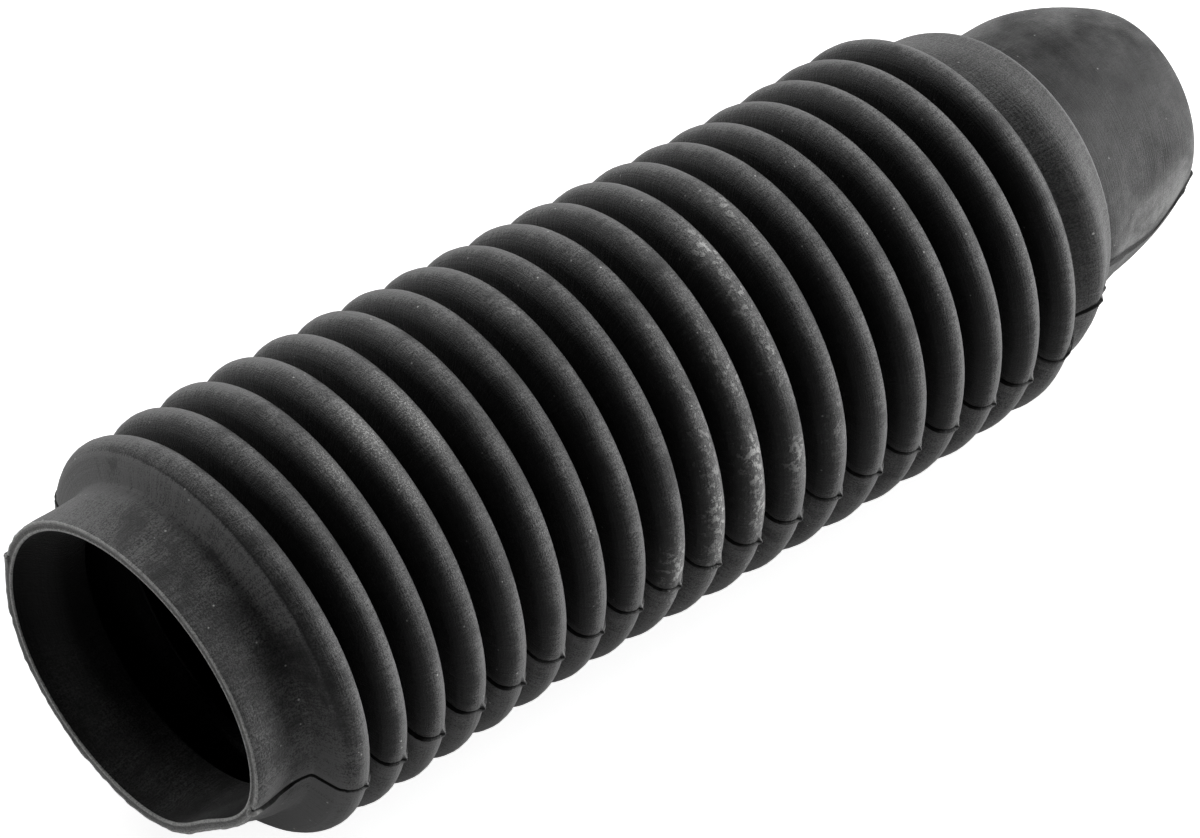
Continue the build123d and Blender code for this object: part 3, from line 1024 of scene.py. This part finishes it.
rough = scaled(tree, mottle, MOTTLE_ROUGHNESS, PLAIN_ROUGHNESS)
rough = scaled(tree, dust_and_painted_sheen, DUST_ROUGHNESS, rough)
rough = scaled(tree, hollow, INNER_ROUGHNESS, rough)
worn = maths(tree, "ADD", powder, scuffs, clamp=True)
rough = scaled(tree, worn, WORN_ROUGHNESS, rough, clamp=True)
fill(tree, shader.inputs["Roughness"], rough)
shader.inputs["Specular IOR Level"].default_value = 0.26
shader.inputs["Sheen Weight"].default_value = 0.20
shader.inputs["Sheen Roughness"].default_value = 0.30
height = scaled(tree, streaks, 0.5, times(tree, speckle, 0.8))
height = scaled(tree, rings, 0.5, height)
chips = times(tree, scuff, between(tree, patchy, 0.45, 0.60))
height = scaled(tree, chips, 1.2, height)
bump = place(tree, "Bump", "grain height", Strength=0.9, Distance=GRAIN_DEPTH, Height=height)
fill(tree, shader.inputs["Normal"], bump.outputs["Normal"])
boot.data.materials.clear()
boot.data.materials.append(rubber)
print("rubber has", len(rubber.node_tree.nodes), "nodes")

# %% [markdown]
# ## Floor
# A wide pale floor carries the boot. It takes the soft shadow as a painted surface does, and
# what the camera and reflections see of it is lifted to white.

# %% Floor
FLOOR_PAINT = (0.8, 0.8, 0.8, 1)
glow_seen, glow_reflected = 0.86, 0.10

bpy.ops.object.select_all(action="DESELECT")
bpy.ops.mesh.primitive_plane_add(size=16, location=(0, 0, 0))
floor = bpy.context.object
floor.name = "floor"
material = bpy.data.materials.new("pale_floor")
material.use_nodes = True
tree = material.node_tree
tree.nodes.clear()
paint = place(tree, "BsdfDiffuse", "paint", Color=FLOOR_PAINT)
path = place(tree, "LightPath", "who looks")
seen = times(tree, path.outputs["Is Camera Ray"], glow_seen)
seen = scaled(tree, path.outputs["Is Glossy Ray"], glow_reflected, seen)
glow = place(tree, "Emission", "glow", Strength=seen)
both = place(tree, "AddShader", "paint and glow")
fill(tree, both.inputs[0], paint.outputs[0])
fill(tree, both.inputs[1], glow.outputs[0])
place(tree, "OutputMaterial", "output", Surface=both.outputs[0])
floor.data.materials.append(material)
print("floor:", round(floor.dimensions.x), "m wide")

# %% [markdown]
# ## Camera
# A long lens from about a metre away looks down on the boot from the side of its big mouth.

# %% Camera
camera_place = Vector((-0.52465, -0.57740, 0.67289))
camera_target = Vector((-0.01309, 0.0, 0.03561))
lens_length = 171.17
camera_turn = (camera_target - camera_place).to_track_quat("-Z", "Y").to_euler()
bpy.ops.object.camera_add(location=camera_place, rotation=camera_turn)
camera = bpy.context.object
camera.name = "view"
camera.data.lens = lens_length
camera.data.sensor_width = 36
bpy.context.scene.camera = camera
print("camera distance", round((camera_target - camera_place).length, 3), "m")

# %% [markdown]
# ## Light
# Black rubber is read by its highlights. The strongest soft box stands low at the small end, with
# a weaker one above it. A long low one behind the boot draws a thin line on its upper edge, under
# a wide one that hangs high. A weak box lights the mouth's side, and a small one fills from above.

# %% Soft boxes
SOFT_BOXES = [
    # name, compass turn, lift, distance, width, height, power
    ("low_side_box", 335, 9, 1.4, 0.9, 0.40, 15.0),
    ("high_side_box", 342, 45, 1.3, 0.8, 0.8, 4.8),
    ("low_back_box", 92, 9, 1.5, 1.7, 0.45, 5.4),
    ("left_box", 150, 14, 1.5, 0.7, 0.6, 3.0),
    ("high_back_box", 86, 47, 1.4, 1.4, 0.8, 6.0),
    ("top_box", 10, 52, 1.3, 0.6, 0.6, 3.6),
]


def soft_box(name, turn, lift, distance, width, height, power):
    """A lamp that faces the boot from a compass turn and a lift."""
    across, up = radians(turn), radians(lift)
    direction = Vector((cos(across) * cos(up), sin(across) * cos(up), sin(up)))
    bpy.ops.object.light_add(type="AREA", location=direction * distance)
    lamp = bpy.context.object
    lamp.name = lamp.data.name = name
    lamp.rotation_euler = direction.to_track_quat("Z", "Y").to_euler()
    lamp.data.shape = "RECTANGLE"
    lamp.data.size, lamp.data.size_y = width, height
    lamp.data.energy = power
    return lamp


lamps = [soft_box(*row) for row in SOFT_BOXES]
print("soft boxes:", len(lamps), "with", round(sum(lamp.data.energy for lamp in lamps), 1), "W")

# %% [markdown]
# ## The room
# The room adds very little light of its own. The camera alone sees its walls as white.

# %% White room
room_light, room_seen = 0.01, 0.99
world = bpy.data.worlds.new("studio")
bpy.context.scene.world = world
world.use_nodes = True
room = world.node_tree
background = room.nodes["Background"]
background.inputs["Color"].default_value = (1, 1, 1, 1)
seen = place(room, "LightPath", "who looks").outputs["Is Camera Ray"]
fill(room, background.inputs["Strength"], scaled(room, seen, room_seen, room_light))
bpy.context.scene.view_settings.view_transform = "Standard"
print("view transform:", bpy.context.scene.view_settings.view_transform)
